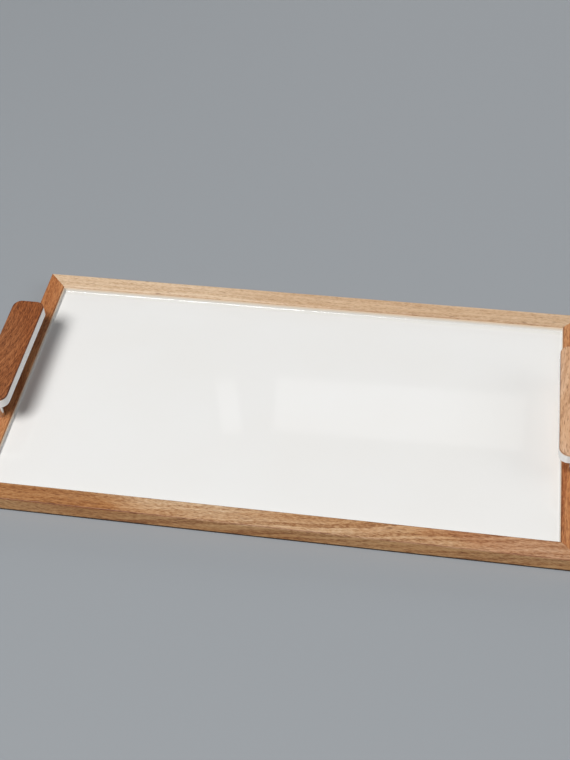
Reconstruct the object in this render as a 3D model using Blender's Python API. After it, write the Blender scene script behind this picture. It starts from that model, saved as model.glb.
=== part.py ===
"""Rectangular wood serving tray with a white enamel lining and two raised handles.

The origin is at the middle of the tray's underside: X runs along the long side, Y from the
front rail to the back rail, and Z up. Lengths are in metres.
"""

import math

import bmesh
import bpy
from mathutils import Matrix, Vector

MM = 0.001
GAP = 0.3 * MM                    # clearance between two pieces that touch

# Frame of four mitred rails
FRAME_LENGTH = 508.0 * MM
FRAME_WIDTH = 269.2 * MM
RAIL_WIDTH = 16.6 * MM
RAIL_HEIGHT = 16.0 * MM
ARRIS_RADIUS = 0.8 * MM           # eased top edges of a rail
FOOT_RADIUS = 0.5 * MM            # eased bottom edges of a rail
MITRE_SHIFT = GAP / math.sqrt(2.0)

# Panel, held in a groove in each rail
PANEL_THICKNESS = 5.0 * MM
PANEL_BOTTOM = 4.6 * MM
PANEL_TOP = PANEL_BOTTOM + PANEL_THICKNESS
GROOVE_DEPTH = 4.0 * MM
GROOVE_BOTTOM = PANEL_BOTTOM - GAP
GROOVE_TOP = PANEL_TOP + GAP

# Enamel coat inside the tray
LINING_THICKNESS = 0.5 * MM
LINING_BOTTOM = PANEL_TOP + GAP
LINING_TOP = RAIL_HEIGHT - 0.9 * MM
COVE_RADIUS = 1.5 * MM

# Handles: a flat plate with a band of enamel round its edge
HANDLE_LENGTH = 120.0 * MM
HANDLE_WIDTH = 29.0 * MM
HANDLE_THICKNESS = 10.2 * MM
HANDLE_TOP = 51.9 * MM
HANDLE_CORNER_RADIUS = 8.0 * MM
HANDLE_EASE = 0.6 * MM
COAT_THICKNESS = 0.5 * MM
COAT_EASE = 0.25 * MM             # eased lower edge of the band
HANDLE_BOTTOM = HANDLE_TOP - HANDLE_THICKNESS
RAIL_CENTRE_X = (FRAME_LENGTH - RAIL_WIDTH) / 2.0

# Posts under the handles, with a tapped hole below and a tenon above
POST_OFFSET_Y = 47.0 * MM
POST_RADIUS = 3.0 * MM
POST_BOTTOM = RAIL_HEIGHT + GAP
POST_SHOULDER = HANDLE_BOTTOM - GAP
POST_EASE = 0.3 * MM
TENON_RADIUS = 2.0 * MM
TENON_TOP = HANDLE_TOP - 3.6 * MM
TAPPED_RADIUS = 1.8 * MM
TAPPED_TOP = POST_BOTTOM + 8.0 * MM

# Countersunk screws, driven up through the short rails
SCREW_RADIUS = 1.5 * MM
SCREW_HEAD_RADIUS = 2.9 * MM
SCREW_HEAD_RIM = 0.3 * MM
SCREW_SINK = 0.4 * MM             # how far the head lies above the tray's underside
SCREW_TOP = TAPPED_TOP - 0.5 * MM
SCREW_CLEARANCE = 0.35 * MM       # between a screw and its hole, square to the surface
SCREW_HOLE_RADIUS = SCREW_RADIUS + SCREW_CLEARANCE
HEX_SOCKET_RADIUS = 1.15 * MM
HEX_SOCKET_DEPTH = 1.2 * MM

# Dowels across the mitres
DOWEL_RADIUS = 2.0 * MM
DOWEL_LENGTH = 10.0 * MM
DOWEL_FROM_CORNER = 9.5 * MM      # along the mitre, from the frame's outer corner
DOWEL_HEIGHT = 7.8 * MM

OVERCUT = 2.0 * MM                # how far a cutting shape stands out of the piece it cuts
MERGE_DISTANCE = 0.01 * MM

ROUND_SEGMENTS = 32
ARC_SEGMENTS = 4
PLAN_SEGMENTS = 8

# Finishes: colour (linear), roughness, metallic
LONG_RAIL_WOOD = ((0.50, 0.29, 0.15, 1.0), 0.45, 0.0)
SHORT_RAIL_WOOD = ((0.42, 0.18, 0.07, 1.0), 0.45, 0.0)
LEFT_HANDLE_WOOD = ((0.31, 0.12, 0.05, 1.0), 0.45, 0.0)
RIGHT_HANDLE_WOOD = ((0.60, 0.37, 0.22, 1.0), 0.45, 0.0)
PANEL_BOARD = ((0.46, 0.31, 0.18, 1.0), 0.65, 0.0)
DOWEL_WOOD = ((0.62, 0.45, 0.28, 1.0), 0.60, 0.0)
WHITE_ENAMEL = ((0.80, 0.79, 0.77, 1.0), 0.16, 0.0)
POLISHED_STEEL = ((0.62, 0.61, 0.60, 1.0), 0.12, 1.0)
SCREW_STEEL = ((0.55, 0.55, 0.56, 1.0), 0.35, 1.0)


def clear_scene():
    """Remove every object, so that the tray stands alone."""
    for item in list(bpy.data.objects):
        bpy.data.objects.remove(item, do_unlink=True)


def add_object(name, mesh_builder, finish=None):
    """Link a new object made from a filled bmesh, with its own material."""
    bmesh.ops.recalc_face_normals(mesh_builder, faces=mesh_builder.faces)
    mesh = bpy.data.meshes.new(name)
    mesh_builder.to_mesh(mesh)
    mesh_builder.free()
    item = bpy.data.objects.new(name, mesh)
    bpy.context.scene.collection.objects.link(item)
    if finish is not None:
        mesh.materials.append(new_material(name, finish))
    return item


def new_material(name, finish):
    """Principled BSDF material with a colour, a roughness and a metallic value."""
    colour, roughness, metallic = finish
    material = bpy.data.materials.new(name)
    material.use_nodes = True
    shader = material.node_tree.nodes["Principled BSDF"]
    shader.inputs["Base Color"].default_value = colour
    shader.inputs["Roughness"].default_value = roughness
    shader.inputs["Metallic"].default_value = metallic
    return material


def eased_outline(corners, segments=ARC_SEGMENTS):
    """Outline of square corners (x, y, radius), each rounded where its radius isn't zero."""
    points = []
    for index, (x, y, radius) in enumerate(corners):
        corner = Vector((x, y))
        if radius <= 0.0:
            points.append(corner)
            continue
        before = Vector(corners[index - 1][:2])
        after = Vector(corners[(index + 1) % len(corners)][:2])
        to_before = (before - corner).normalized()
        to_after = (after - corner).normalized()
        centre = corner + (to_before + to_after) * radius
        for step in range(segments + 1):
            angle = math.pi / 2.0 * step / segments
            swing = to_after * math.cos(angle) + to_before * math.sin(angle)
            points.append(centre - swing * radius)
    return points


def quarter_arc(centre, radius, start, end, segments=ARC_SEGMENTS):
    """Points (inset, height) of an arc between two angles in degrees, ends included."""
    points = []
    for step in range(segments + 1):
        angle = math.radians(start + (end - start) * step / segments)
        points.append((centre[0] + radius * math.cos(angle), centre[1] + radius * math.sin(angle)))
    return points


def ring_solid(length, width, corner_radius, section, band=False):
    """Solid made of level rings: (inset, height) pairs from the lower cap to the upper one.

    A band has no caps: its last ring meets its first one.
    """
    builder = bmesh.new()
    rings = []
    for inset, height in section:
        half_length = length / 2.0 - inset
        half_width = width / 2.0 - inset
        radius = corner_radius - inset if corner_radius > 0.0 else 0.0
        outline = eased_outline(
            [
                (half_length, half_width, radius),
                (-half_length, half_width, radius),
                (-half_length, -half_width, radius),
                (half_length, -half_width, radius),
            ],
            PLAN_SEGMENTS,
        )
        rings.append([builder.verts.new((point.x, point.y, height)) for point in outline])
    lower_rings = rings if band else rings[:-1]
    upper_rings = rings[1:] + rings[:1] if band else rings[1:]
    for lower, upper in zip(lower_rings, upper_rings):
        for index, corner in enumerate(lower):
            after = (index + 1) % len(lower)
            builder.faces.new((corner, lower[after], upper[after], upper[index]))
    if not band:
        builder.faces.new(reversed(rings[0]))
        builder.faces.new(rings[-1])
    return builder


def turned_solid(profile, segments=ROUND_SEGMENTS):
    """Solid of revolution about Z from (radius, height) pairs; its ends lie on the axis."""
    builder = bmesh.new()
    points = [builder.verts.new((radius, 0.0, height)) for radius, height in profile]
    edges = [builder.edges.new(pair) for pair in zip(points, points[1:])]
    bmesh.ops.spin(
        builder,
        geom=points + edges,
        cent=(0.0, 0.0, 0.0),
        axis=(0.0, 0.0, 1.0),
        angle=2.0 * math.pi,
        steps=segments,
        use_duplicate=False,
    )
    bmesh.ops.remove_doubles(builder, verts=builder.verts, dist=MERGE_DISTANCE)
    return builder


def shade_round(item, angle=35.0):
    """Smooth shading with sharp edges past the given angle in degrees."""
    item.data.shade_smooth()
    item.data.set_sharp_from_angle(angle=math.radians(angle))


def make_cutter(item):
    """Keep a cutting shape out of the finished tray."""
    item.hide_render = True
    item.display_type = "WIRE"
    return item


def cut(item, cutter):
    """Subtract a cutting shape from a piece."""
    modifier = item.modifiers.new(cutter.name, "BOOLEAN")
    modifier.operation = "DIFFERENCE"
    modifier.solver = "EXACT"
    modifier.object = cutter


def handle_sides():
    """The two ends of the tray, as a name and the side of X that it is on."""
    return (("left", -1.0), ("right", 1.0))


def post_places():
    """Name and (x, y) of each post under the handles."""
    places = []
    for side, across in handle_sides():
        for end, along in (("front", -1.0), ("back", 1.0)):
            places.append((f"{side}_{end}", (across * RAIL_CENTRE_X, along * POST_OFFSET_Y)))
    return places


def dowel_places():
    """Name and placing of each dowel, which crosses its mitre at a right angle, lying level."""
    inward = DOWEL_FROM_CORNER / math.sqrt(2.0)
    places = []
    for side, across in handle_sides():
        for end, along in (("front", -1.0), ("back", 1.0)):
            centre = Vector((
                across * (FRAME_LENGTH / 2.0 - inward),
                along * (FRAME_WIDTH / 2.0 - inward),
                DOWEL_HEIGHT,
            ))
            lying = Matrix.Rotation(math.pi / 2.0, 4, "X")
            turn = Matrix.Rotation(across * along * math.pi / 4.0, 4, "Z")
            places.append((f"{end}_{side}", Matrix.Translation(centre) @ turn @ lying))
    return places


def rail_section():
    """Section of a rail: distance in from its outer face, height, and radius of each corner."""
    groove_floor = RAIL_WIDTH - GROOVE_DEPTH
    return eased_outline([
        (0.0, 0.0, FOOT_RADIUS),
        (RAIL_WIDTH, 0.0, FOOT_RADIUS),
        (RAIL_WIDTH, GROOVE_BOTTOM, 0.0),
        (groove_floor, GROOVE_BOTTOM, 0.0),
        (groove_floor, GROOVE_TOP, 0.0),
        (RAIL_WIDTH, GROOVE_TOP, 0.0),
        (RAIL_WIDTH, RAIL_HEIGHT, ARRIS_RADIUS),
        (0.0, RAIL_HEIGHT, ARRIS_RADIUS),
    ])


def make_rail(name, length, location, turn, finish):
    """Rail with mitred ends; its outer face is at local y = 0 and it runs along local X."""
    builder = bmesh.new()
    ends = []
    for side in (-1.0, 1.0):
        points = []
        for depth, height in rail_section():
            reach = length / 2.0 - depth - MITRE_SHIFT
            points.append(builder.verts.new((side * reach, depth, height)))
        edges = [builder.edges.new((a, b)) for a, b in zip(points, points[1:] + points[:1])]
        builder.faces.new(points)
        ends.append(edges)
    bmesh.ops.bridge_loops(builder, edges=ends[0] + ends[1])
    rail = add_object(name, builder, finish)
    rail.location = location
    rail.rotation_euler = (0.0, 0.0, math.radians(turn))
    return rail


def make_frame(dowel_holes, screw_holes):
    """Four mitred rails, drilled for the dowels and, at the short ends, for the screws."""
    half_length = FRAME_LENGTH / 2.0
    half_width = FRAME_WIDTH / 2.0
    rails = (
        ("front_rail", FRAME_LENGTH, (0.0, -half_width, 0.0), 0.0, LONG_RAIL_WOOD),
        ("back_rail", FRAME_LENGTH, (0.0, half_width, 0.0), 180.0, LONG_RAIL_WOOD),
        ("left_rail", FRAME_WIDTH, (-half_length, 0.0, 0.0), -90.0, SHORT_RAIL_WOOD),
        ("right_rail", FRAME_WIDTH, (half_length, 0.0, 0.0), 90.0, SHORT_RAIL_WOOD),
    )
    for name, length, location, turn, finish in rails:
        rail = make_rail(name, length, location, turn, finish)
        cut(rail, dowel_holes)
        if finish is SHORT_RAIL_WOOD:
            cut(rail, screw_holes)


def add_rod(builder, radius, length, placing, segments=ROUND_SEGMENTS):
    """Add a plain rod to a mesh, turned and put in its place."""
    bmesh.ops.create_cone(
        builder,
        cap_ends=True,
        segments=segments,
        radius1=radius,
        radius2=radius,
        depth=length,
        matrix=placing,
    )


def make_corner_dowels():
    """One dowel hidden in each mitre."""
    for name, placing in dowel_places():
        builder = bmesh.new()
        add_rod(builder, DOWEL_RADIUS, DOWEL_LENGTH, Matrix.Identity(4))
        dowel = add_object(f"corner_dowel_{name}", builder, DOWEL_WOOD)
        dowel.matrix_world = placing
        shade_round(dowel)


def make_dowel_holes():
    """Cutting shape for the blind holes in the mitred ends."""
    builder = bmesh.new()
    for _, placing in dowel_places():
        add_rod(builder, DOWEL_RADIUS + GAP, DOWEL_LENGTH + 2.0 * GAP, placing)
    return make_cutter(add_object("dowel_holes", builder))


def turned_cutter(name, profile, places):
    """Cutting shape with the same turned solid at several places."""
    joined = bmesh.new()
    for x, y in places:
        single = turned_solid(profile)
        bmesh.ops.translate(single, verts=single.verts, vec=(x, y, 0.0))
        scratch = bpy.data.meshes.new("scratch")
        single.to_mesh(scratch)
        single.free()
        joined.from_mesh(scratch)
        bpy.data.meshes.remove(scratch)
    return make_cutter(add_object(name, joined))


def make_screw_holes():
    """Cutting shape for the countersunk holes through the short rails."""
    rim_radius = SCREW_HEAD_RADIUS + SCREW_CLEARANCE
    rim_height = SCREW_SINK + SCREW_HEAD_RIM + SCREW_CLEARANCE * (math.sqrt(2.0) - 1.0)
    profile = [
        (0.0, -OVERCUT),
        (rim_radius, -OVERCUT),
        (rim_radius, rim_height),
        (SCREW_HOLE_RADIUS, rim_height + rim_radius - SCREW_HOLE_RADIUS),
        (SCREW_HOLE_RADIUS, RAIL_HEIGHT + OVERCUT),
        (0.0, RAIL_HEIGHT + OVERCUT),
    ]
    return turned_cutter("screw_holes", profile, [place for _, place in post_places()])


def make_tenon_holes():
    """Cutting shape for the blind holes in the handle plates and their coat."""
    radius = TENON_RADIUS + GAP
    top = TENON_TOP + GAP
    bottom = HANDLE_BOTTOM - OVERCUT
    profile = [(0.0, bottom), (radius, bottom), (radius, top), (0.0, top)]
    return turned_cutter("tenon_holes", profile, [place for _, place in post_places()])


def make_base_panel():
    """Board held in the rails' grooves."""
    tongue = GROOVE_DEPTH - GAP
    length = FRAME_LENGTH - 2.0 * RAIL_WIDTH + 2.0 * tongue
    width = FRAME_WIDTH - 2.0 * RAIL_WIDTH + 2.0 * tongue
    section = [(0.0, PANEL_BOTTOM), (0.0, PANEL_TOP)]
    add_object("base_panel", ring_solid(length, width, 0.0, section), PANEL_BOARD)


def make_enamel_lining():
    """Coat on the panel and up the rails' inner faces, with a cove between them."""
    length = FRAME_LENGTH - 2.0 * RAIL_WIDTH - 2.0 * GAP
    width = FRAME_WIDTH - 2.0 * RAIL_WIDTH - 2.0 * GAP
    floor = LINING_BOTTOM + LINING_THICKNESS
    cove_centre = (LINING_THICKNESS + COVE_RADIUS, floor + COVE_RADIUS)
    section = [(0.0, LINING_BOTTOM), (0.0, LINING_TOP), (LINING_THICKNESS, LINING_TOP)]
    section += quarter_arc(cove_centre, COVE_RADIUS, 180.0, 270.0)
    lining = add_object("enamel_lining", ring_solid(length, width, 0.0, section), WHITE_ENAMEL)
    shade_round(lining)


def make_handle(side, across, finish, tenon_holes):
    """Handle plate, drilled for the tenons, and the band of enamel round its edge."""
    centre = (across * RAIL_CENTRE_X, 0.0, 0.0)
    margin = COAT_THICKNESS + GAP
    core_section = [(0.0, HANDLE_BOTTOM)]
    core_section += quarter_arc((HANDLE_EASE, HANDLE_TOP - HANDLE_EASE), HANDLE_EASE, 180.0, 90.0)
    core_width = HANDLE_WIDTH - 2.0 * margin
    core_length = HANDLE_LENGTH - 2.0 * margin
    core_radius = HANDLE_CORNER_RADIUS - margin
    plate = add_object(
        f"{side}_handle_plate",
        ring_solid(core_width, core_length, core_radius, core_section),
        finish,
    )
    band_section = [
        (COAT_THICKNESS, HANDLE_BOTTOM),
        (COAT_EASE, HANDLE_BOTTOM),
        (0.0, HANDLE_BOTTOM + COAT_EASE),
        (0.0, HANDLE_TOP - HANDLE_EASE),
        (COAT_THICKNESS, HANDLE_TOP - HANDLE_EASE),
    ]
    band = add_object(
        f"{side}_handle_enamel",
        ring_solid(HANDLE_WIDTH, HANDLE_LENGTH, HANDLE_CORNER_RADIUS, band_section, band=True),
        WHITE_ENAMEL,
    )
    for item in (plate, band):
        item.location = centre
        shade_round(item)
    cut(plate, tenon_holes)


def make_posts():
    """Polished posts: tapped below, with a shoulder and a tenon above."""
    profile = [
        (0.0, TAPPED_TOP),
        (TAPPED_RADIUS, TAPPED_TOP),
        (TAPPED_RADIUS, POST_BOTTOM),
        (POST_RADIUS - POST_EASE, POST_BOTTOM),
        (POST_RADIUS, POST_BOTTOM + POST_EASE),
        (POST_RADIUS, POST_SHOULDER - POST_EASE),
        (POST_RADIUS - POST_EASE, POST_SHOULDER),
        (TENON_RADIUS, POST_SHOULDER),
        (TENON_RADIUS, TENON_TOP),
        (0.0, TENON_TOP),
    ]
    for name, (x, y) in post_places():
        post = add_object(f"{name}_post", turned_solid(profile), POLISHED_STEEL)
        post.location = (x, y, 0.0)
        shade_round(post)


def make_hex_sockets():
    """Cutting shape for the hexagon sockets in the screws' heads."""
    builder = bmesh.new()
    start = SCREW_SINK - OVERCUT
    end = SCREW_SINK + HEX_SOCKET_DEPTH
    for _, (x, y) in post_places():
        placing = Matrix.Translation((x, y, (start + end) / 2.0))
        add_rod(builder, HEX_SOCKET_RADIUS, end - start, placing, segments=6)
    return make_cutter(add_object("hex_sockets", builder))


def make_screws():
    """Countersunk screws that hold the posts down from the tray's underside."""
    rim_height = SCREW_SINK + SCREW_HEAD_RIM
    profile = [
        (0.0, SCREW_SINK),
        (SCREW_HEAD_RADIUS, SCREW_SINK),
        (SCREW_HEAD_RADIUS, rim_height),
        (SCREW_RADIUS, rim_height + SCREW_HEAD_RADIUS - SCREW_RADIUS),
        (SCREW_RADIUS, SCREW_TOP),
        (0.0, SCREW_TOP),
    ]
    sockets = make_hex_sockets()
    for name, (x, y) in post_places():
        screw = add_object(f"{name}_screw", turned_solid(profile), SCREW_STEEL)
        screw.location = (x, y, 0.0)
        shade_round(screw)
        cut(screw, sockets)


def make_tray():
    """Build every piece of the tray in its place."""
    clear_scene()
    make_frame(make_dowel_holes(), make_screw_holes())
    make_corner_dowels()
    make_base_panel()
    make_enamel_lining()
    tenon_holes = make_tenon_holes()
    handle_woods = (LEFT_HANDLE_WOOD, RIGHT_HANDLE_WOOD)
    for (side, across), wood in zip(handle_sides(), handle_woods):
        make_handle(side, across, wood, tenon_holes)
    make_posts()
    make_screws()


make_tray()
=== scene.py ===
"""Looks of the rectangular wood serving tray with a white enamel lining and raised handles.

Every length is in metres. Each sub-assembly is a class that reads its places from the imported
frame, builds its meshes and dresses them. X runs along the long rails and Z is up.
"""

import sys

import logging
import math
from dataclasses import dataclass
from enum import Enum
from typing import Any, Callable, Iterable, Optional, Sequence

import bmesh
import bpy
from mathutils import Euler, Matrix, Vector, noise


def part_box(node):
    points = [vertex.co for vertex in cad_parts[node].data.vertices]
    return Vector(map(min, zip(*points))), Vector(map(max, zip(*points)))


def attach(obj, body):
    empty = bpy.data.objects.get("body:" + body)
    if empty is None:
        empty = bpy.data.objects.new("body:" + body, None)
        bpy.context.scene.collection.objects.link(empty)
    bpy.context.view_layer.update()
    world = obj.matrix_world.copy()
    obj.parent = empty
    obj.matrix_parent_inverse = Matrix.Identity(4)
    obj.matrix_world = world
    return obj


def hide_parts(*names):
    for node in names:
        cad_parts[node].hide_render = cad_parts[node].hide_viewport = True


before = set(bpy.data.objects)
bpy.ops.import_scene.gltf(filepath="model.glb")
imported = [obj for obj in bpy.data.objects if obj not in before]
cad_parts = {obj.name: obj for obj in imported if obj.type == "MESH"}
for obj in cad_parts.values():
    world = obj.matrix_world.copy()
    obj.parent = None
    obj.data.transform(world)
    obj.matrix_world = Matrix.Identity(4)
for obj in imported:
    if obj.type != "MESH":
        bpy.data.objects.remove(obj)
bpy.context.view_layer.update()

LOG = logging.getLogger("tray")
MM = 0.001
BODY = "root"
SIDES = ("left", "right")
ENDS = ("front", "back")
CONTACT = 0.02 * MM  # Gap left between pieces that touch.
SMOOTH_ANGLE = 38.0
MERGE_DISTANCE = 0.002 * MM

Socket = bpy.types.NodeSocket
Piece = bpy.types.Object
Pair = tuple[float, float]
Triple = tuple[float, float, float]
Colour = Triple
Ring = Triple
WHITE: Colour = (1.0, 1.0, 1.0)


# --- Node trees ---


class TreeWriter:
    """Adds nodes to one node tree and joins them up."""

    def __init__(self, tree: bpy.types.NodeTree) -> None:
        """Remember the tree that is written to."""
        self.tree = tree

    def add(self, kind: str, inputs: Optional[dict[str, Any]] = None, **settings: Any
            ) -> bpy.types.Node:
        """Add a node, set its properties and feed its inputs.

        Args:
            kind: The node's type name.
            inputs: Sockets or values, by the names of the inputs.
            settings: Property values of the node.

        Returns:
            The new node.
        """
        node = self.tree.nodes.new(kind)
        for name, value in settings.items():
            setattr(node, name, value)
        for name, value in (inputs or {}).items():
            self.feed(node.inputs[name], value)
        return node

    def feed(self, socket: Socket, value: Any) -> None:
        """Link a socket to another one, or set it to a plain value.

        Args:
            socket: The input socket.
            value: An output socket, or a value for the input.
        """
        if isinstance(value, Socket):
            self.tree.links.new(value, socket)
        else:
            socket.default_value = value

    def math(self, operation: str, *values: Any, clamp: bool = False) -> Socket:
        """Add a Math node.

        Args:
            operation: The node's operation.
            values: Sockets or numbers, in order.
            clamp: Whether the result stays between 0 and 1.

        Returns:
            The result's socket.
        """
        node = self.add("ShaderNodeMath", operation=operation, use_clamp=clamp)
        for socket, value in zip(node.inputs, values):
            self.feed(socket, value)
        return node.outputs[0]

    def vector_math(self, operation: str, *values: Any) -> Socket:
        """Add a Vector Math node.

        Args:
            operation: The node's operation.
            values: Sockets or vectors, in order.

        Returns:
            The vector result's socket.
        """
        node = self.add("ShaderNodeVectorMath", operation=operation)
        for socket, value in zip(node.inputs, values):
            self.feed(socket, value)
        return node.outputs[0]

    def split(self, vector: Socket) -> Any:
        """Sockets X, Y and Z of a vector."""
        return self.add("ShaderNodeSeparateXYZ", {"Vector": vector}).outputs

    def spread(self, value: Any, low: float, high: float, to_low: float = 0.0,
               to_high: float = 1.0) -> Socket:
        """Map a range of values to another one, with clamped ends.

        Args:
            value: The input socket.
            low: The input that gives to_low.
            high: The input that gives to_high.
            to_low: Result at low.
            to_high: Result at high.

        Returns:
            The result's socket.
        """
        return self.add("ShaderNodeMapRange", {
            "Value": value, "From Min": low, "From Max": high, "To Min": to_low, "To Max": to_high,
        }).outputs["Result"]


class ShaderWriter(TreeWriter):
    """Writes the procedural node tree of one material."""

    def __init__(self, name: str) -> None:
        """Start a material with a Principled BSDF.

        Args:
            name: The material's name.
        """
        self.material = bpy.data.materials.new(name)
        self.material.use_nodes = True
        super().__init__(self.material.node_tree)
        self.shader = self.tree.nodes["Principled BSDF"]

    def place(self, turn: float = 0.0, shift: Triple = (0.0, 0.0, 0.0)) -> Socket:
        """Object coordinates, turned about Z and then shifted.

        Args:
            turn: Angle about Z in degrees.
            shift: Distance along each axis.

        Returns:
            The coordinates' socket.
        """
        return self.add("ShaderNodeMapping", {
            "Vector": self.add("ShaderNodeTexCoord").outputs["Object"],
            "Rotation": (0.0, 0.0, math.radians(turn)),
            "Location": shift,
        }, vector_type="POINT").outputs["Vector"]

    def noise(self, coordinates: Socket, stretch: Triple, detail: float = 2.0,
              roughness: float = 0.5, output: str = "Fac") -> Socket:
        """Noise with its own number of features per metre along each axis.

        Args:
            coordinates: Where the noise is read.
            stretch: Features per metre along X, Y and Z.
            detail: Octaves of finer noise.
            roughness: Strength of the finer octaves.
            output: Name of the output, Fac or Color.

        Returns:
            The noise's socket.
        """
        return self.add("ShaderNodeTexNoise", {
            "Vector": self.vector_math("MULTIPLY", coordinates, stretch),
            "Scale": 1.0, "Detail": detail, "Roughness": roughness,
        }).outputs[output]

    def specks(self, coordinates: Socket, stretch: Triple, rarity: float, near: float, far: float
               ) -> Socket:
        """Sparse specks, at most one in each cell.

        Args:
            coordinates: Where the specks are read.
            stretch: Cells per metre along X, Y and Z.
            rarity: Share of the cells that stay empty.
            near: Distance from a cell's point at which a speck starts to fade.
            far: Distance at which it is gone.

        Returns:
            The specks' mask.
        """
        cells = self.add("ShaderNodeTexVoronoi", {
            "Vector": self.vector_math("MULTIPLY", coordinates, stretch), "Scale": 1.0,
        }, feature="F1")
        chance = self.add("ShaderNodeSeparateColor", {"Color": cells.outputs["Color"]})
        chosen = self.math("GREATER_THAN", chance.outputs[0], rarity)
        fade = self.spread(cells.outputs["Distance"], near, far, 1.0, 0.0)
        return self.math("MULTIPLY", chosen, fade)

    def ramp(self, factor: Socket, stops: Iterable[tuple[float, Colour]]) -> Socket:
        """Colour ramp through several stops.

        Args:
            factor: Position on the ramp.
            stops: Pairs of position and colour, in rising order.

        Returns:
            The colour's socket.
        """
        node = self.add("ShaderNodeValToRGB", {"Fac": factor})
        elements = node.color_ramp.elements
        stops = list(stops)
        while len(elements) < len(stops):
            elements.new(0.5)
        for element, (position, colour) in zip(elements, stops):
            element.position = position
            element.color = (*colour, 1.0)
        return node.outputs["Color"]

    def mix(self, factor: Any, first: Any, second: Any, blend: str = "MIX") -> Socket:
        """Mix two colours.

        Args:
            factor: Share of the second colour.
            first: Socket or colour.
            second: Socket or colour.
            blend: The blend type.

        Returns:
            The mixed colour's socket.
        """
        node = self.add("ShaderNodeMix", data_type="RGBA", blend_type=blend)
        for index, value in ((0, factor), (6, first), (7, second)):
            given = (*value, 1.0) if isinstance(value, tuple) else value
            self.feed(node.inputs[index], given)
        return node.outputs[2]

    def tint(self, colour: Any, share: Any, tone: Any) -> Socket:
        """Multiply a colour by a tone, as far as a share says."""
        return self.mix(share, colour, tone, "MULTIPLY")

    def attribute(self, name: str) -> Socket:
        """Value of a mesh attribute."""
        return self.add("ShaderNodeAttribute", attribute_name=name).outputs["Fac"]

    def bump(self, height: Socket, distance: float, strength: float = 1.0,
             below: Optional[Socket] = None) -> Socket:
        """Bump from a height, on top of another bump.

        Args:
            height: Height between 0 and 1.
            distance: Real height of 1.
            strength: Strength of the effect.
            below: Normal that this bump is added to.

        Returns:
            The normal's socket.
        """
        inputs = {"Strength": strength, "Distance": distance, "Height": height}
        if below is not None:
            inputs["Normal"] = below
        return self.add("ShaderNodeBump", inputs).outputs["Normal"]

    def finish(self, **inputs: Any) -> bpy.types.Material:
        """Set the shader's sockets and return the material.

        Args:
            inputs: Socket names, with underscores for spaces, and sockets or values.

        Returns:
            The finished material.
        """
        for name, value in inputs.items():
            given = (*value, 1.0) if isinstance(value, tuple) and len(value) == 3 else value
            self.feed(self.shader.inputs[name.replace("_", " ")], given)
        return self.material


# --- Finishes ---

# Every "stretch" is a number of features per metre: along the grain and across it in wood,
# along X, Y and Z elsewhere. A "span" is where a noise starts to count and where it counts fully.

MOST = (0.3, 0.7)  # Between these lie most values of a noise.


class Grain(Enum):
    """Which way a board's grain runs, as the turn that brings it onto X, in degrees."""

    ALONG_X = 0.0
    ALONG_Y = -90.0


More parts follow.
